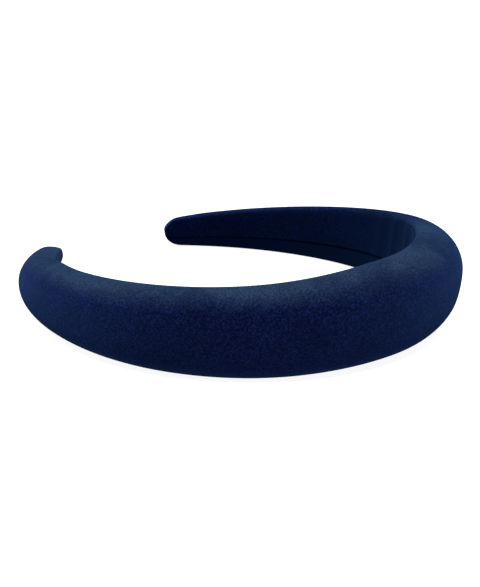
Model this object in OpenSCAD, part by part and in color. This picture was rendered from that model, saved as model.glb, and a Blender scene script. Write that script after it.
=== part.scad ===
// Padded headband: a wide foam and velvet band that lies on its lower edge, tips open towards +Y

/* [Band] */
// Length of the band along its inner face, from tip to tip
band_length = 390; // [370:1:405]
// Bend radius of the inner face over the crown
crown_radius = 65; // [60:1:72]
// Bend radius of the inner face where the sides begin
side_radius = 75; // [68:1:90]
// Bend radius of the inner face along the arms
arm_radius = 98; // [86:1:130]
// Bend radius of the inner face at the tips
tip_radius = 92; // [76:1:130]
// Height of the band at the crown
crown_width = 33; // [26:0.5:40]
// Height of the band at the tips
tip_width = 9.5; // [8:0.5:14]
// Length of the rounded end of each tip
tip_round = 5.5; // [4.5:0.1:8]

/* [Padding] */
// Thickness of the foam and velvet over the crown and the arms
pad_thickness = 13; // [9:0.5:16]
// How much thicker the pad is at the crown, where it fills in towards the head
crown_fill = 4; // [0:0.5:5]
// Thickness of the band at the tips
tip_thickness = 9.5; // [7:0.5:12]
// Thickness left at the very end of a tip
end_thickness = 6; // [4:0.5:8]
// Radius of the soft rim between the outer face and the inner face
rim_round = 1.2; // [0.6:0.1:2]

/* [Inner lining] */
// Thickness of the velvet strip on the inner face
lining_thickness = 1.2; // [0.8:0.1:2]
// Height of the strip's face above the cover's inner lap
lining_step = 0.3; // [0.1:0.05:0.5]
// Radius of the strip's folded edges
lining_edge = 0.4; // [0.2:0.05:0.6]
// Flat lap of the cover between its soft upper rim and the strip
upper_lap = 0.6; // [0.4:0.1:1.2]
// Bare length between the strip's end and the tip
lining_end_gap = 2; // [1.4:0.1:3]
// Gap between the strip and its recess
seat_gap = 0.15; // [0.1:0.05:0.3]

/* [Hidden] */

half_length = band_length / 2;

// Bend radius of the inner face: share of the half length, radius
bends = [
    [0.00, crown_radius],
    [0.20, crown_radius],
    [0.50, side_radius],
    [0.75, arm_radius],
    [1.00, tip_radius]
];

// How far the inner face stands in from its bend line: share of the half length, distance
fills = [
    [0.00, crown_fill],
    [0.25, crown_fill * 0.65],
    [0.45, crown_fill * 0.15],
    [0.60, 0],
    [1.00, 0]
];

// Place of the strip's lower edge, as a share of the band's height from its lower edge
seam_share = 0.325;

// Powers of the curves along the band: how its height tapers and how late its pad thins out
taper = 0.95;
thinning = 8;
// Powers of the rounded forms: the outer face, the upper and lower edges, the tips seen flat
face_fullness = 2.5;
edge_fullness = 2.3;
end_fullness = 2.2;
// Where a section's weight lies, as a share of its thickness
weight_share = 0.42;

// Steps of the surface
main_steps = 40;
end_steps = 6;
close_steps = 4;
arc_steps = 24;
rim_steps = 3;
// Shares of a rounded end at which the cover and the strip stop in a small flat
cover_stop = 0.985;
lining_stop = 0.95;
// Run of the slanted wall at each end of the recess
seat_wall = 0.3;
// Largest share of the band's half height that a soft rim may take
rim_limit = 0.3;

tip_start = half_length - tip_round;
lining_end = half_length - lining_end_gap;
seat_end = lining_end + seat_gap;
wall_end = seat_end + seat_wall;
seat_depth = lining_thickness - lining_step + seat_gap;
cover_end = tip_start + tip_round * cover_stop;

// Slope of a table's second column at row i
function gradient(rows, i) = (rows[i + 1][1] - rows[i][1]) / (rows[i + 1][0] - rows[i][0]);
function row_slope(rows, i) =
    i == 0 ? 0
    : i == len(rows) - 1 ? gradient(rows, i - 1)
    : let (before = rows[i][0] - rows[i - 1][0], after = rows[i + 1][0] - rows[i][0])
        (gradient(rows, i - 1) * after + gradient(rows, i) * before) / (before + after);

// Smooth value of a table at x
function blend(rows, x, i = 0) =
    i < len(rows) - 2 && x > rows[i + 1][0] ? blend(rows, x, i + 1)
    : let (run = rows[i + 1][0] - rows[i][0], t = (x - rows[i][0]) / run)
        rows[i][1] * (1 + 2 * t) * pow(1 - t, 2)
        + row_slope(rows, i) * run * t * pow(1 - t, 2)
        + rows[i + 1][1] * t * t * (3 - 2 * t)
        - row_slope(rows, i + 1) * run * t * t * (1 - t);

// Distances from the crown's middle along one half
half_stations = concat(
    [for (i = [0:main_steps - 1]) tip_start * i / main_steps],
    [for (i = [0:end_steps]) tip_start + (lining_end - tip_start) * sin(90 * i / end_steps)],
    [seat_end, wall_end],
    [for (i = [1:close_steps]) wall_end + (cover_end - wall_end) * sin(90 * i / close_steps)]
);
half_last = len(half_stations) - 1;

// Angle turned and way covered from station i to the next one
function bend(d) = 180 / (PI * blend(bends, d / half_length));
function step_length(i) = i < half_last ? half_stations[i + 1] - half_stations[i] : 0;
function step_turn(i) =
    i < half_last ? (bend(half_stations[i]) + bend(half_stations[i + 1])) / 2 * step_length(i) : 0;

half_turns = [for (i = 0, a = 0; i <= half_last; a = a + step_turn(i), i = i + 1) a];
half_places = [
    for (i = 0, x = 0, y = 0; i <= half_last;
        x = x + step_length(i) * cos(half_turns[i] + step_turn(i) / 2),
        y = y + step_length(i) * sin(half_turns[i] + step_turn(i) / 2),
        i = i + 1)
        [x, y]
];

// Height and thickness of the band at distance d, before the tip rounds off
function width_at(d) = tip_width + (crown_width - tip_width) * pow(cos(90 * d / half_length), taper);
function fill_at(d) = blend(fills, d / half_length);
function full_thickness(d) =
    pad_thickness + fill_at(d) - (pad_thickness - tip_thickness) * pow(d / half_length, thinning);

// What a rounded end leaves of the height: 1 before it starts, 0 at its very end
function round_share(reach) = sqrt(1 - pow(max(0, reach), end_fullness));
function tip_share(d) = round_share((d - tip_start) / tip_round);
function half_height(d) = width_at(d) / 2 * tip_share(d);
function thickness_at(d) =
    let (end_share = end_thickness / tip_thickness)
    full_thickness(d) * (end_share + (1 - end_share) * tip_share(d));

// Upper and lower edges of the strip, then its middle line and half height with its rounded ends
function strip_top(d) = half_height(d) - rim_round - upper_lap;
function strip_foot(d) = width_at(d) * (seam_share - 0.5);
function strip_middle(d) = (strip_top(d) + strip_foot(d)) / 2;
lining_round = (strip_top(tip_start) - strip_foot(tip_start)) / 2;
function strip_half(d) =
    let (reach = (d - (lining_end - lining_round)) / lining_round)
    (strip_top(d) - strip_foot(d)) / 2 * round_share(min(lining_stop, reach));

// Recess edge on side 1 (upper) or -1 (lower), drawn in with the tip past the recess
function seat_edge(d, side) =
    (strip_middle(d) + side * (strip_half(d) + seat_gap))
    * (d > wall_end ? half_height(d) / half_height(wall_end) : 1);

// Closed outlines of the cover and the strip at distance d, as [outwards, up]
function cover_outline(d) =
    let (
        h = half_height(d),
        t = thickness_at(d),
        rim = min(rim_round, h * rim_limit),
        low = seat_edge(d, -1),
        high = seat_edge(d, 1),
        depth = d > seat_end ? 0 : seat_depth,
        inset = d > seat_end ? (high - low) / 3 : 0
    )
    concat(
        [for (j = [0:arc_steps])
            let (c = cos(180 * j / arc_steps), s = sin(180 * j / arc_steps))
            [rim + (t - rim) * pow(abs(s), 2 / face_fullness),
                h * sign(c) * pow(abs(c), 2 / edge_fullness)]],
        [for (j = [1:rim_steps])
            let (a = 90 * j / rim_steps)
            [rim * (1 - sin(a)), rim * (1 - cos(a)) - h]],
        [[0, low], [depth, low + inset], [depth, high - inset], [0, high]],
        [for (j = [rim_steps:-1:1])
            let (a = 90 * j / rim_steps)
            [rim * (1 - sin(a)), h - rim * (1 - cos(a))]]
    );

function strip_outline(d) =
    let (
        back = lining_thickness - lining_step,
        front = -lining_step,
        edge = lining_edge,
        soft = lining_edge * (1 - cos(45)),
        low = strip_middle(d) - strip_half(d),
        high = strip_middle(d) + strip_half(d)
    )
    [
        [back, high],
        [back, low],
        [front + edge, low],
        [front + soft, low + soft],
        [front, low + edge],
        [front, high - edge],
        [front + soft, high - soft],
        [front + edge, high]
    ];

// Point of an outline set on station i of one half, on side 1 (+X) or -1 (-X)
function set_out(p, i, side) =
    let (out = p[0] - fill_at(half_stations[i]))
    [
        side * (half_places[i][0] + out * sin(half_turns[i])),
        half_places[i][1] - out * cos(half_turns[i]),
        p[1]
    ];
function cover_ring(i, side) = [for (p = cover_outline(half_stations[i])) set_out(p, i, side)];
function strip_ring(i, side) = [for (p = strip_outline(half_stations[i])) set_out(p, i, side)];

// Stations from the -X tip over the crown to the +X tip, as [station, side]
cover_run = concat([for (i = [half_last:-1:1]) [i, -1]], [for (i = [0:half_last]) [i, 1]]);

// Triangles between rings of count points, with a flat at each end
function band_faces(count, rings) = concat(
    [for (i = [0:rings - 2], j = [0:count - 1])
        let (k = (j + 1) % count)
        [i * count + j, (i + 1) * count + k, i * count + k]],
    [for (i = [0:rings - 2], j = [0:count - 1])
        let (k = (j + 1) % count)
        [i * count + j, (i + 1) * count + j, (i + 1) * count + k]],
    [for (j = [1:count - 2]) [0, j, j + 1]],
    [for (j = [1:count - 2]) let (base = (rings - 1) * count) [base, base + j + 1, base + j]]
);

strip_run = [for (r = cover_run) if (half_stations[r[0]] < seat_end) r];
cover_points = [for (r = cover_run) each cover_ring(r[0], r[1])];
strip_points = [for (r = strip_run) each strip_ring(r[0], r[1])];

// The band tips until its lower edge is level below its weight
function weight(i) = half_height(half_stations[i]) * thickness_at(half_stations[i]) * step_length(i);
function total(list) = [for (x = list) 1] * list;
weights = [for (i = [0:half_last]) weight(i)];
weight_ys = [
    for (i = [0:half_last])
        half_places[i][1]
        - (weight_share * thickness_at(half_stations[i]) - fill_at(half_stations[i])) * cos(half_turns[i])
];
balance_y = weights * weight_ys / total(weights);
edge_slopes = [
    for (i = [1:half_last])
        if (half_places[i - 1][1] <= balance_y && half_places[i][1] > balance_y)
            (half_height(half_stations[i - 1]) - half_height(half_stations[i]))
            / (half_places[i][1] - half_places[i - 1][1])
];
rest_tilt = atan(edge_slopes[0]);

// Extents of the tipped cover, for an origin below its middle
tipped_ys = [for (p = cover_points) p[1] * cos(rest_tilt) + p[2] * sin(rest_tilt)];
tipped_zs = [for (p = cover_points) p[2] * cos(rest_tilt) - p[1] * sin(rest_tilt)];
middle_y = (min(tipped_ys) + max(tipped_ys)) / 2;
lowest_z = min(tipped_zs);

// Stands a piece on the band's lower edge
module at_rest() {
    translate([0, -middle_y, -lowest_z]) rotate([-rest_tilt, 0, 0]) children();
}

// Foam band wrapped in velvet, its edges lapped onto the inner face round a shallow recess
module padded_cover() {
    color("#16234f")
        at_rest()
            polyhedron(cover_points, band_faces(len(cover_outline(0)), len(cover_run)), convexity = 6);
}

// Velvet strip along the inner face, its lower edge the seam that shows
module inner_lining() {
    color("#0c1538")
        at_rest()
            polyhedron(strip_points, band_faces(len(strip_outline(0)), len(strip_run)), convexity = 6);
}

padded_cover();
inner_lining();
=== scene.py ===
import math

import bmesh
import bpy
from mathutils import Matrix, Vector


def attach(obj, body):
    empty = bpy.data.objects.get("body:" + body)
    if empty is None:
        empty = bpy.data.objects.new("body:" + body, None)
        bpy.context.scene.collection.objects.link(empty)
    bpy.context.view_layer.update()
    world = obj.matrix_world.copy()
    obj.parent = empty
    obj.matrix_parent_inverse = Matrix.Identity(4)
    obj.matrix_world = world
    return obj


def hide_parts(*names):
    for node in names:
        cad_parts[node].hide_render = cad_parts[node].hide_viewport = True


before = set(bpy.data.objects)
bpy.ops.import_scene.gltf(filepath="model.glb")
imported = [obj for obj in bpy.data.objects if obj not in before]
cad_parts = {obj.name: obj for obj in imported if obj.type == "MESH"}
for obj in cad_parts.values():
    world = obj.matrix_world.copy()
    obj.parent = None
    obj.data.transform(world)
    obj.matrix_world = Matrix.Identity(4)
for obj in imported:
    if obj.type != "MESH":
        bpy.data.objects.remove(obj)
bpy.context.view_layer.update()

# Padded cover: a sprung core in soft foam, pulled into a sleeve of short-pile navy velvet. The velvet is
# stretched smooth over the outside and lapped round both edges onto the flat inside, where the tight bend
# of the crown presses it into small folds. Sizes are in metres; a share runs from the crown to a tip.
MM = 0.001
HALF_LENGTH = 195 * MM  # along the inner face, from the middle of the crown to a tip
TIP_ROUND = 6.8 * MM
TIP_START = HALF_LENGTH - TIP_ROUND
TIP_BLUNTNESS = 2.2
TIP_HEIGHT = 9.6 * MM
CROWN_HEIGHT = 33.3 * MM
HEIGHT_TAPER = 0.95
PAD_THICKNESS = 12.8 * MM
TIP_THICKNESS = 9.4 * MM
END_THICKNESS = 7.3 * MM
THICKNESS_TAPER = 8
RIM = 1.2 * MM
BEND_RADII = [(0, 65 * MM), (0.2, 65 * MM), (0.5, 75 * MM), (0.75, 98 * MM), (1, 92 * MM)]
# No two arms of a hand-stuffed band are alike: how far each section leans its top inwards, in degrees,
# sits higher or lower, is taller or thicker than planned, fills in towards the head, and bends wider, on
# the -X and on the +X arm.
LEANS = {
    -1: [(0, -5), (0.25, -4), (0.5, -0.3), (1, 12)],
    1: [(0, -5), (0.25, -10), (0.5, -3), (1, -1)],
}
LIFTS = {
    -1: [(0, 0), (0.4, 0), (0.7, 1 * MM), (0.85, 0.2 * MM), (1, 0)],
    1: [(0, 0), (0.4, 0), (1, -2.4 * MM)],
}
TALLER = {
    -1: [
        (0, 0.9 * MM), (0.3, 0.5 * MM), (0.6, 1.4 * MM), (0.75, 1.6 * MM), (0.85, -1 * MM),
        (0.93, -0.8 * MM), (1, -0.9 * MM),
    ],
    1: [(0, 0.9 * MM), (0.3, 0.5 * MM), (0.6, -0.3 * MM), (0.85, 0.2 * MM), (1, 1.1 * MM)],
}
THICKER = {
    -1: [(0, 0.1 * MM), (0.25, -0.5 * MM), (0.5, 0.3 * MM), (0.8, 0.9 * MM), (1, -0.5 * MM)],
    1: [(0, 0.1 * MM), (0.25, 0), (0.5, -0.4 * MM), (0.8, 0.2 * MM), (1, 0.7 * MM)],
}
FILLS = {
    -1: [(0, 3.7 * MM), (0.25, -0.9 * MM), (0.45, 0), (0.6, 0), (0.8, 1.1 * MM), (0.9, 0), (1, -1 * MM)],
    1: [(0, 3.7 * MM), (0.25, 6.4 * MM), (0.45, 1.5 * MM), (0.7, 0), (1, 0)],
}
WIDER_BENDS = {
    -1: [(0, 1), (0.2, 0.985), (0.5, 1.015), (0.75, 0.97), (1, 0.99)],
    1: [(0, 1), (0.2, 1), (0.5, 1.05), (0.75, 1.01), (1, 1.03)],
}


def blended(rows, share):
    """Smooth value of a two-column table at a share of the way from the crown to a tip."""
    share = min(max(share, 0), 1)
    row = max(i for i in range(len(rows) - 1) if i == 0 or share > rows[i][0])

    def gradient(i):
        return (rows[i + 1][1] - rows[i][1]) / (rows[i + 1][0] - rows[i][0])

    def slope(i):
        if i == 0:
            return 0
        if i == len(rows) - 1:
            return gradient(i - 1)
        before, after = rows[i][0] - rows[i - 1][0], rows[i + 1][0] - rows[i][0]
        return (gradient(i - 1) * after + gradient(i) * before) / (before + after)

    run = rows[row + 1][0] - rows[row][0]
    t = (share - rows[row][0]) / run
    start = rows[row][1] * (1 + 2 * t) + slope(row) * run * t
    finish = rows[row + 1][1] * (3 - 2 * t) - slope(row + 1) * run * (1 - t)
    return start * (1 - t) ** 2 + finish * t * t


def side_of(along):
    """The arm that a distance along the band lies on: -1 for -X, 1 for +X."""
    return 1 if along >= 0 else -1


LINE_STEP = 0.5 * MM


def bent_line(side):
    """Places and headings along the inner face of one half, from the crown's middle to past the tip."""
    radii = [(share, radius * blended(WIDER_BENDS[side], share)) for share, radius in BEND_RADII]
    points, x, y, heading = [(0, 0, 0)], 0, 0, 0
    while len(points) * LINE_STEP <= HALF_LENGTH + TIP_ROUND:
        turn = LINE_STEP / blended(radii, (len(points) - 0.5) * LINE_STEP / HALF_LENGTH)
        x += LINE_STEP * math.cos(heading + turn / 2)
        y += LINE_STEP * math.sin(heading + turn / 2)
        heading += turn
        points.append((side * x, y, side * heading))
    return points


bent_lines = {side: bent_line(side) for side in (-1, 1)}


def end_share(reach):
    """How much of its width a rounded end leaves: 1 where its rounding starts, 0 at its very end."""
    return (1 - reach ** TIP_BLUNTNESS) ** 0.5


def tip_share(along):
    """How much of the height the rounding of the tips leaves at a place along the band."""
    return end_share(min(max((abs(along) - TIP_START) / TIP_ROUND, 0), 1))


def height_at(along):
    """Height of the band before its ends are rounded."""
    share = abs(along) / HALF_LENGTH
    taper = math.cos(math.pi / 2 * min(share, 1)) ** HEIGHT_TAPER
    return TIP_HEIGHT + (CROWN_HEIGHT - TIP_HEIGHT) * taper + blended(TALLER[side_of(along)], share)


def thickness_at(along):
    """Thickness of the pad outwards from its bend line, which the rounding of a tip thins a little."""
    share = abs(along) / HALF_LENGTH
    full = PAD_THICKNESS - (PAD_THICKNESS - TIP_THICKNESS) * share ** THICKNESS_TAPER
    full += blended(THICKER[side_of(along)], share)
    ends = END_THICKNESS / TIP_THICKNESS
    return full * (ends + (1 - ends) * tip_share(along))


def fill_at(along):
    """How far the pad fills in towards the head from its bend line."""
    return blended(FILLS[side_of(along)], abs(along) / HALF_LENGTH)


LEAN_AXIS = 0.45  # a section leans about this share of its thickness


def place_at(along):
    """Frame of the band's section: x outwards from the inner face, y up, z along the band."""
    side, share = side_of(along), abs(along) / HALF_LENGTH
    steps = abs(along) / LINE_STEP
    here, there = bent_lines[side][int(steps)], bent_lines[side][int(steps) + 1]
    x, y, heading = (a + (b - a) * (steps % 1) for a, b in zip(here, there))
    outwards = Vector((math.sin(heading), -math.cos(heading), 0))
    ahead = Vector((math.cos(heading), math.sin(heading), 0))
    place = Matrix((outwards, (0, 0, 1), ahead)).transposed().to_4x4()
    place.translation = (x, y, blended(LIFTS[side], share))
    axis = Matrix.Translation((LEAN_AXIS * thickness_at(along), 0, 0))
    lean = Matrix.Rotation(math.radians(blended(LEANS[side], share)), 4, "Z")
    return place @ axis @ lean @ axis.inverted()


def section_matrix(along):
    """Places the section on the band and gives it its thickness and half height there."""
    fill = fill_at(along)
    size = (thickness_at(along) + fill, height_at(along) / 2 * tip_share(along), 1, 1)
    return place_at(along) @ Matrix.Translation((-fill, 0, 0)) @ Matrix.Diagonal(size)


# The section is drawn with out from 0 on the inner face to 1 on the outer, and up from -1 at the lower rim
# to 1 at the upper. The inner face has points of its own where the stitches will pull in a crease.
RING_POINTS = 56
DRAWN_POINTS = 720
OUTER_FULLNESS = 2.7
EDGE_FULLNESS = 2.5
INNER_FLATNESS = 5
FLAT_OUT = 0.02
SEAM_UPS = (-0.28, -0.31, -0.335, -0.355, -0.372, -0.389, -0.41, -0.44, -0.475)


def section_points(count):
    """Evenly spaced points of the section as out and up: full outside, flat inside."""
    rim = RIM / PAD_THICKNESS
    drawn = []
    for i in range(DRAWN_POINTS):
        c, s = math.cos(math.tau * i / DRAWN_POINTS), math.sin(math.tau * i / DRAWN_POINTS)
        out = rim + (1 - rim) * c ** (2 / OUTER_FULLNESS) if c >= 0 else rim - rim * abs(c) ** 0.5
        up = math.copysign(abs(s) ** (2 / (EDGE_FULLNESS if c >= 0 else INNER_FLATNESS)), s)
        drawn.append(Vector((out * PAD_THICKNESS, up * CROWN_HEIGHT / 2)))
    drawn.append(drawn[0])
    lengths = [0]
    for start, end in zip(drawn, drawn[1:]):
        lengths.append(lengths[-1] + (end - start).length)
    points, i = [], 0
    for k in range(count):
        length = lengths[-1] * k / count
        while lengths[i + 1] <= length:
            i += 1
        point = drawn[i].lerp(drawn[i + 1], (length - lengths[i]) / (lengths[i + 1] - lengths[i]))
        points.append((point.x / PAD_THICKNESS, point.y / (CROWN_HEIGHT / 2)))
    near_seam = [p for p in points if p[0] < FLAT_OUT and SEAM_UPS[-1] < p[1] < SEAM_UPS[0]]
    first = points.index(near_seam[0])
    points[first:first + len(near_seam)] = [(0, up) for up in SEAM_UPS]
    return points


def stations(end, end_length, rings, end_rings, last_share):
    """Places of the rings from one end to the other: even along the band, closer where the ends are rounded.
    The last ring lies at last_share of the rounding."""
    half = [(end - end_length) * i / rings for i in range(1, rings + 1)]
    for i in range(1, end_rings + 1):
        half.append(end - end_length * (1 - last_share * math.sin(math.pi / 2 * i / end_rings)))
    return [-s for s in reversed(half)] + [0] + half


def sweep(mesh, places, matrix_at):
    """Extrudes the mesh's one ring along the band and closes both ends."""
    along_layer = mesh.verts.layers.float.new("along")
    ring, edges, before = mesh.verts[:], mesh.edges[:], Matrix.Identity(4)
    for along in places:
        if along != places[0]:
            grown = bmesh.ops.extrude_edge_only(mesh, edges=edges)["geom"]
            ring = [g for g in grown if isinstance(g, bmesh.types.BMVert)]
            edges = [g for g in grown if isinstance(g, bmesh.types.BMEdge) and len(g.link_faces) == 1]
        after = matrix_at(along)
        bmesh.ops.transform(mesh, matrix=after @ before.inverted(), verts=ring)
        for v in ring:
            v[along_layer] = along
        before = after
    ends = [e for e in mesh.edges if e.is_boundary]
    caps = bmesh.ops.holes_fill(mesh, edges=ends)["faces"]
    bmesh.ops.poke(mesh, faces=caps)
    bmesh.ops.recalc_face_normals(mesh, faces=mesh.faces)


# The crown is taller than the tips, so the band rests tilted on its lower edge, centred on the origin.
REST_TILT = math.radians(3.303)
REST_Y = 68.708 * MM
REST_Z = 17.25 * MM
AT_REST = Matrix.Translation((0, -REST_Y, REST_Z)) @ Matrix.Rotation(-REST_TILT, 4, "X")


def finished(mesh, name):
    """Stands a swept mesh on its lower edge and makes it an object of its own."""
    bmesh.ops.transform(mesh, matrix=AT_REST, verts=mesh.verts)
    for face in mesh.faces:
        face.smooth = True
    data = bpy.data.meshes.new(name)
    mesh.to_mesh(data)
    mesh.free()
    piece = bpy.data.objects.new(name, data)
    bpy.context.scene.collection.objects.link(piece)
    return piece


MAIN_RINGS = 150
TIP_RINGS = 9
TIP_LAST_SHARE = 0.985
section = section_points(RING_POINTS)
cover_mesh = bmesh.new()
out_layer = cover_mesh.verts.layers.float.new("out")
up_layer = cover_mesh.verts.layers.float.new("up")
bmesh.ops.create_circle(cover_mesh, segments=len(section), radius=1)
for v, (out, up) in zip(cover_mesh.verts, section):
    v.co = (out, up, 0)
    v[out_layer] = out
    v[up_layer] = up
sweep(cover_mesh, stations(HALF_LENGTH, TIP_ROUND, MAIN_RINGS, TIP_RINGS, TIP_LAST_SHARE), section_matrix)
cover = finished(cover_mesh, "velvet_cover")


def values_of(piece, name):
    """One value per vertex, as the sweep or a mark wrote it."""
    return [item.value for item in piece.data.attributes[name].data]


# The foam presses the stretched velvet outwards. The core holds the flat inside and the glued tips, and the
# sleeve swells by up to 0.3 mm, so the sweep above starts a little thinner and squarer.
SWELL_LIMIT = 0.3 * MM
SWELL_FADE = 10 * MM
SWELL_FRAMES = 20
INSIDE_OUT = 0.12  # the inner face and its rounded rims lie below this out


def let_swell(piece):
    """Runs the pressure of the foam on a sleeve for a moment and keeps the shape that it takes."""
    held = piece.vertex_groups.new(name="held")
    from_tips = [TIP_START - abs(along) for along in values_of(piece, "along")]
    for v, from_tip, out in zip(piece.data.vertices, from_tips, values_of(piece, "out")):
        held.add([v.index], 1 if out < INSIDE_OUT or from_tip <= 0 else 0, "REPLACE")
    before = [v.co.copy() for v in piece.data.vertices]
    foam = piece.modifiers.new("foam", "CLOTH")
    foam.settings.quality = 5
    foam.settings.mass = 0.01
    foam.settings.tension_stiffness = 2
    foam.settings.compression_stiffness = 2
    foam.settings.shear_stiffness = 1
    foam.settings.bending_stiffness = 0.02
    foam.settings.use_pressure = True
    foam.settings.uniform_pressure_force = 900
    foam.settings.effector_weights.gravity = 0
    foam.settings.vertex_group_mass = "held"
    foam.point_cache.frame_end = SWELL_FRAMES
    for frame_number in range(1, SWELL_FRAMES + 1):
        bpy.context.scene.frame_set(frame_number)
    swollen = piece.evaluated_get(bpy.context.evaluated_depsgraph_get()).data
    moves = [after.co - start for after, start in zip(swollen.vertices, before)]
    piece.modifiers.remove(foam)
    piece.vertex_groups.remove(held)
    bpy.context.scene.frame_set(1)
    for v, start, move, from_tip in zip(piece.data.vertices, before, moves, from_tips):
        eased = min(max(from_tip / SWELL_FADE, 0), 1)
        v.co = start + move * eased * min(1, SWELL_LIMIT / max(move.length, 1e-9))
    piece.data.update()


let_swell(cover)

# The inside of the bend is pressed into small folds across the band. Each one has its place along the band,
# its half width and its height in millimetres, and how far it slants between its middle and its upper end.
FOLDS = [
    (-52, 3, 0.2, 2), (-41, 2.6, 0.3, -2), (-30, 3.2, 0.25, 3), (-19, 2.5, 0.35, -1), (-10, 3, 0.3, 3),
    (2, 2.6, 0.4, -2), (12, 3, 0.3, 2), (21, 2.4, 0.35, 4), (33, 3.2, 0.4, -2), (41, 2.5, 0.3, 3),
    (48, 3.2, 0.35, -2), (65, 5.5, 1, 1), (83, 4, 0.45, -2), (94, 3.4, 0.25, -3),
]


def fold_height(along, up):
    """Height of the folds at a place on the inside. They run out at both rims."""
    total = 0
    for place, half_width, height, slant in FOLDS:
        away = min(abs((along / MM - place - slant * up) / half_width), 1)
        total += height * MM * (1 - away * away) ** 2
    return total * max(0, 1 - up ** 4)


def press_folds(piece):
    """Raises the folds on the side of a piece that faces the head."""
    upright = AT_REST.inverted()
    normals = [v.normal.copy() for v in piece.data.vertices]
    for v, normal, along in zip(piece.data.vertices, normals, values_of(piece, "along")):
        along = min(max(along, -TIP_START), TIP_START)
        outwards = AT_REST.to_3x3() @ place_at(along).col[0].to_3d()
        facing_head = max(0, -normal.dot(outwards))
        up = (upright @ v.co).z / (height_at(along) / 2)
        v.co += normal * facing_head * fold_height(along, min(max(up, -1), 1))


press_folds(cover)

# Marks on the cover for its colour: a dusty painted highlight along the upper edge and round the near tip,
# where the overhead light and the sheen would catch the pile; painted shade all over the inside; and painted
# shade in the crease that the stitches pull in under the lower edge of the lining. The two deepest valleys
# between the folds get painted shade too: place along the band and half width in millimetres, and how dark.
TIP_HIGHLIGHT_START = 165 * MM
TIP_HIGHLIGHT_FADE = 14 * MM
SPREAD_START = 145 * MM  # past this the painted highlight spreads downwards
SPREAD_FADE = 40 * MM
HIGHLIGHT_UP = 0.6  # where the painted highlight of the upper edge starts
HIGHLIGHT_DROP = 1.1  # how much lower it starts at the near tip
HIGHLIGHT_RISE = 0.4  # from there to the full painted highlight, and twice that at the near tip
HIGHLIGHT_SOFTNESS = 1.3
HIGHLIGHT_END = 105 * MM  # along the far arm
HIGHLIGHT_END_FADE = 85 * MM
INNER_SHADE_FADE = 0.11
INNER_SHADE_TOP = 0.96
INNER_SHADE_TOP_FADE = 0.12
CREASE_UP = -0.372
CREASE_HALF_WIDTH = 0.034
CREASE_DEPTH = 0.5 * MM
VALLEYS = [(55, 5, 0.9), (75, 4, 0.8)]


def smooth(value):
    """0 below 0, 1 above 1 and a smooth step between."""
    value = min(max(value, 0), 1)
    return value * value * (3 - 2 * value)


def mark(piece, name, values):
    """Writes one value per vertex under a name that the velvet reads."""
    piece.data.attributes.new(name, "FLOAT", "POINT").data.foreach_set("value", values)


def tip_highlight(along):
    """Painted highlight all round the near tip."""
    return smooth((-along - TIP_HIGHLIGHT_START) / TIP_HIGHLIGHT_FADE)


def upper_highlight(along, up):
    """Painted highlight of the upper edge, which spreads downwards towards the near tip and runs out on the
    far arm.
    """
    spread = smooth((-along - SPREAD_START) / SPREAD_FADE)
    above = (up - HIGHLIGHT_UP + HIGHLIGHT_DROP * spread) / (HIGHLIGHT_RISE + HIGHLIGHT_RISE * spread)
    highlight = min(max(above, 0), 1) ** HIGHLIGHT_SOFTNESS
    return max(highlight * smooth((HIGHLIGHT_END - along) / HIGHLIGHT_END_FADE), tip_highlight(along))


def inner_shading(along, up, out):
    """How much painted shade darkens the pile: all over the inside, up to its upper rim, but not at the near
    tip.
    """
    inside = smooth((INSIDE_OUT - out) / INNER_SHADE_FADE)
    return inside * smooth((INNER_SHADE_TOP - up) / INNER_SHADE_TOP_FADE) * (1 - tip_highlight(along))


def crease_and_shade(up, out):
    """How far the stitches pull the velvet in, and how dark its painted shade is: fully in the middle of the
    crease, only on the inner face.
    """
    return smooth(1 - abs(up - CREASE_UP) / CREASE_HALF_WIDTH) if out < FLAT_OUT else 0


def valley_shade(along):
    """How dark the painted shade in the valleys between the folds is."""
    return max(
        shade * smooth(1 - abs(along / MM - place) / half_width) for place, half_width, shade in VALLEYS
    )


alongs, ups, outs = (values_of(cover, name) for name in ("along", "up", "out"))
inner_shade = [inner_shading(along, up, out) for along, up, out in zip(alongs, ups, outs)]
creases = [crease_and_shade(up, out) for up, out in zip(ups, outs)]
normals = [v.normal.copy() for v in cover.data.vertices]
for v, normal, pulled in zip(cover.data.vertices, normals, creases):
    v.co -= normal * CREASE_DEPTH * pulled
# Painted highlight along the upper edge and round the near tip.
mark(cover, "painted_highlight", [upper_highlight(along, up) for along, up in zip(alongs, ups)])
# Painted shade all over the inside.
mark(cover, "inner_shade", inner_shade)
# Painted shade in the crease and in the fold valleys of the inside.
mark(cover, "crease_and_shade", [max(c, valley_shade(along) * p) for c, along, p in zip(creases, alongs, inner_shade)])
rounding = cover.modifiers.new("rounding", "SUBSURF")
rounding.levels = rounding.render_levels = 1


def linear(hex_colour):
    """An sRGB hex colour as linear red, green, blue and a full alpha."""
    parts = [int(hex_colour[i:i + 2], 16) / 255 for i in (1, 3, 5)]
    return [p / 12.92 if p <= 0.04045 else ((p + 0.055) / 1.055) ** 2.4 for p in parts] + [1]


def add(tree, kind, settings=(), links=()):
    """Adds a node with its settings, sockets by name or number among them, and links into it."""
    node = tree.nodes.new(kind)
    for key, value in dict(settings).items():
        if isinstance(key, str) and hasattr(node, key):
            setattr(node, key, value)
        else:
            node.inputs[key].default_value = value
    for key, source in dict(links).items():
        tree.links.new(source, node.inputs[key])
    return node


# One tuft of the pile is a tenth of a millimetre wide and too fine to show, so the grain is drawn at about
# two thirds of a millimetre. The pile lies this way and that in mottles of 6 mm and in patches of 26 mm.
GRAINS_PER_MM = 1.5
MOTTLES_PER_MM = 0.17
PATCHES_PER_MM = 0.038
MOTTLE_WEIGHT = 0.5
GRAIN_CONTRAST = 0.7
GRAIN_DARKEST = 0.65
GRAIN_RELIEF = 0.2 * MM
# Near black of the painted shade in the stitched crease and in the fold valleys.
CREASE_SHADE_COLOUR = "#000002"
SHEEN_COLOUR = "#66a4ff"


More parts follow.
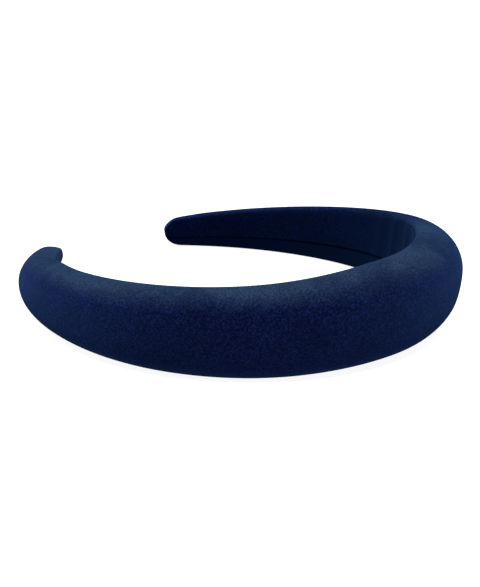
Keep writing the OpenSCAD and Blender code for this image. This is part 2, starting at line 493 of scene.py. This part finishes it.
def velvet(name, deep, tips, highlight, inner_shade, sheen):
    """Short-pile velvet: near-black blue where the pile is seen end on, with paler fibre tips, a dusty
    painted highlight where the marks ask for it, painted shade on the inside and in the creases, and a soft
    sheen where it is seen from the side."""
    material = bpy.data.materials.new(name)
    material.use_nodes = True
    tree = material.node_tree
    shader = tree.nodes["Principled BSDF"]
    place = add(tree, "ShaderNodeTexCoord").outputs["Object"]
    grain = add(
        tree, "ShaderNodeTexNoise",
        {"Scale": GRAINS_PER_MM / MM, "Detail": 1, "Roughness": 0.6}, {"Vector": place},
    ).outputs["Fac"]
    mottles = add(
        tree, "ShaderNodeTexNoise",
        {"Scale": MOTTLES_PER_MM / MM, "Detail": 3, "Roughness": 0.6}, {"Vector": place},
    ).outputs["Fac"]
    patches = add(
        tree, "ShaderNodeTexNoise",
        {"Scale": PATCHES_PER_MM / MM, "Detail": 2, "Roughness": 0.5}, {"Vector": place},
    ).outputs["Fac"]
    laid = add(
        tree, "ShaderNodeMath",
        {"operation": "MULTIPLY_ADD", 1: MOTTLE_WEIGHT}, {0: mottles, 2: patches},
    ).outputs[0]
    speckle = add(
        tree, "ShaderNodeMapRange",
        {"From Min": 0.36, "From Max": 0.68}, {"Value": grain},
    ).outputs[0]
    depth = add(
        tree, "ShaderNodeMapRange",
        {"From Min": 0.45, "From Max": 1.05, "To Min": 0.6, "To Max": 1.4}, {"Value": laid},
    ).outputs[0]
    # The painted highlight is patchy, following the mottles of the pile.
    highlight_patches = add(
        tree, "ShaderNodeMapRange",
        {"From Min": 0.62, "From Max": 0.88, "To Min": 0.7, "To Max": 1.3}, {"Value": laid},
    ).outputs[0]
    colour = add(
        tree, "ShaderNodeMix",
        {"data_type": "RGBA", 6: linear(deep), 7: linear(tips)}, {0: speckle},
    ).outputs[2]
    # Mixes in the painted highlight, the painted shade of the inside and the painted shade of the creases,
    # each over the last.
    for attribute, marked in (("painted_highlight", highlight), ("inner_shade", inner_shade), ("crease_and_shade", CREASE_SHADE_COLOUR)):
        amount = add(tree, "ShaderNodeAttribute", {"attribute_name": attribute}).outputs["Fac"]
        if attribute == "painted_highlight":
            amount = add(
                tree, "ShaderNodeMath",
                {"operation": "MULTIPLY", "use_clamp": True}, {0: amount, 1: highlight_patches},
            ).outputs[0]
        colour = add(
            tree, "ShaderNodeMix",
            {"data_type": "RGBA", 7: linear(marked)}, {0: amount, 6: colour},
        ).outputs[2]
    tone = add(
        tree, "ShaderNodeMath",
        {"operation": "MULTIPLY_ADD", 1: GRAIN_CONTRAST, 2: GRAIN_DARKEST}, {0: speckle},
    ).outputs[0]
    tone = add(tree, "ShaderNodeMath", {"operation": "MULTIPLY"}, {0: tone, 1: depth}).outputs[0]
    shade = add(tree, "ShaderNodeVectorMath", {"operation": "SCALE"}, {"Vector": colour, "Scale": tone})
    tree.links.new(shade.outputs[0], shader.inputs["Base Color"])
    tufts = add(tree, "ShaderNodeBump", {"Strength": 0.5, "Distance": GRAIN_RELIEF}, {"Height": grain})
    tree.links.new(tufts.outputs[0], shader.inputs["Normal"])
    shader.inputs["Roughness"].default_value = 0.9
    shader.inputs["Specular IOR Level"].default_value = 0
    shader.inputs["Sheen Weight"].default_value = sheen
    shader.inputs["Sheen Roughness"].default_value = 0.6
    shader.inputs["Sheen Tint"].default_value = linear(SHEEN_COLOUR)
    return material


cover.data.materials.append(velvet(
    "velvet_navy", deep="#01021a", tips="#080b27", highlight="#121c2b", inner_shade="#00010b", sheen=0.062,
))
# The lap under the seam gets a shaded copy of the velvet, with a third less sheen: painted shade.
LAP_OUT = 0.35
cover.data.materials.append(velvet(
    "velvet_navy_lap_shaded", deep="#01021a", tips="#080b27", highlight="#121c2b", inner_shade="#00010e", sheen=0.041,
))
for face in cover.data.polygons:
    if max(ups[v] for v in face.vertices) <= CREASE_UP and max(outs[v] for v in face.vertices) < LAP_OUT:
        face.material_index = 1
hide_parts("padded_cover")
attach(cover, "root")

# Inner lining: a strip of the same velvet glued over the laps of the cover, its edges turned under. Its
# lower edge lies a third of the way up the inside and shows as a dark seam; its upper edge lies close
# under the upper rim and is pressed almost flush. It is seen in the shade of the hoop.
STRIP_END = HALF_LENGTH - 2 * MM
STRIP_END_LENGTH = 8 * MM
STRIP_PROUD = 0.35 * MM
STRIP_DEPTH = 0.9 * MM
SEAM_SHARE = 0.325
UPPER_LAP = 1.2 * MM
UPPER_PRESSED = 0.8
EDGE_SQUARENESS = 0.35
NARROWEST_REACH = 0.97  # leaves the strip's last rings a sliver of width
STRIP_POINTS = 32
STRIP_RINGS = 170
STRIP_END_RINGS = 12
STRIP_LAST_SHARE = 0.997


def strip_matrix(along):
    """Places a strip of unit half height on the inner face, with its ends rounded."""
    main = side_of(along) * min(abs(along), TIP_START)
    foot = height_at(main) * (SEAM_SHARE - 0.5)
    top = height_at(main) / 2 - RIM - UPPER_LAP
    half = (top - foot) / 2
    reach = max(0, (abs(along) - (STRIP_END - half)) / half)
    middle = Matrix.Translation((-fill_at(main), (top + foot) / 2, 0))
    rounded = Matrix.Diagonal((1, half * end_share(min(reach, NARROWEST_REACH)), 1, 1))
    return place_at(along) @ middle @ rounded


lining_mesh = bmesh.new()
bmesh.ops.create_circle(lining_mesh, segments=STRIP_POINTS, radius=1)
for v in lining_mesh.verts:
    c, s = v.co.x, v.co.y
    proud = STRIP_PROUD * (1 - UPPER_PRESSED * max(0, s) ** 6)
    out = STRIP_DEPTH * abs(c) ** 0.5 if c > 0 else -proud * abs(c) ** 0.5
    v.co = (out, math.copysign(abs(s) ** EDGE_SQUARENESS, s), 0)
strip_places = stations(STRIP_END, STRIP_END_LENGTH, STRIP_RINGS, STRIP_END_RINGS, STRIP_LAST_SHARE)
sweep(lining_mesh, strip_places, strip_matrix)
lining = finished(lining_mesh, "velvet_lining")
press_folds(lining)
alongs = values_of(lining, "along")
# Painted highlight round the near tip.
mark(lining, "painted_highlight", [tip_highlight(along) for along in alongs])
# Painted shade in the two deepest fold valleys.
mark(lining, "crease_and_shade", [valley_shade(along) for along in alongs])
# The lining's darker colours and weaker sheen are painted shade: a shaded copy of the cover's velvet.
lining.data.materials.append(velvet(
    "velvet_navy_shaded", deep="#000106", tips="#01031a", highlight="#121c2b", inner_shade="#00010b", sheen=0.037,
))
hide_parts("inner_lining")
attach(lining, "root")

# Studio: a white table lit from below, which leaves only a faint shadow, broad soft lights overhead and from
# the front, and weaker ones from the far left and from the right.
floor_mesh = bmesh.new()
bmesh.ops.create_grid(floor_mesh, x_segments=1, y_segments=1, size=6)
floor_data = bpy.data.meshes.new("floor")
floor_mesh.to_mesh(floor_data)
floor_mesh.free()
floor = bpy.data.objects.new("floor", floor_data)
bpy.context.scene.collection.objects.link(floor)
paper = bpy.data.materials.new("white_paper")
paper.use_nodes = True
paper_shader = paper.node_tree.nodes["Principled BSDF"]
paper_shader.inputs["Base Color"].default_value = linear("#7c7c7c")
paper_shader.inputs["Roughness"].default_value = 0.9
paper_shader.inputs["Emission Color"].default_value = linear("#ffffff")
paper_shader.inputs["Emission Strength"].default_value = 0.93
floor.data.materials.append(paper)

world = bpy.data.worlds.new("white_room")
world.use_nodes = True
world.node_tree.nodes["Background"].inputs["Color"].default_value = linear("#ffffff")
world.node_tree.nodes["Background"].inputs["Strength"].default_value = 0.1
bpy.context.scene.world = world


def area_light(name, place, size, power):
    """Adds a round lamp that faces the middle of the band."""
    data = bpy.data.lights.new(name, "AREA")
    data.shape = "DISK"
    data.size = size
    data.energy = power
    lamp = bpy.data.objects.new(name, data)
    lamp.location = place
    lamp.rotation_euler = Vector(place).to_track_quat("Z", "Y").to_euler()
    bpy.context.scene.collection.objects.link(lamp)


area_light("overhead", place=(0, 0, 1.2), size=1.4, power=12)
area_light("front", place=(-0.35, -0.4, 1.1), size=0.8, power=31)
area_light("far_left", place=(-0.45, 0.75, 0.8), size=0.6, power=9.5)
area_light("right", place=(0.75, -0.35, 0.6), size=0.6, power=3)

CAMERA_PLACE = Vector((-0.3514, -0.3559, 0.1763))
CAMERA_AIM = Vector((-0.0027, -0.0017, 0.0066))
CAMERA_ROLL = math.radians(0.55)
camera_data = bpy.data.cameras.new("camera")
camera_data.sensor_width = 36
camera_data.lens = 86.27
camera = bpy.data.objects.new("camera", camera_data)
camera.location = CAMERA_PLACE
facing = (CAMERA_PLACE - CAMERA_AIM).to_track_quat("Z", "Y").to_matrix()
camera.rotation_euler = (facing @ Matrix.Rotation(CAMERA_ROLL, 3, "Z")).to_euler()
bpy.context.scene.collection.objects.link(camera)
bpy.context.scene.camera = camera
bpy.context.scene.view_settings.view_transform = "Standard"
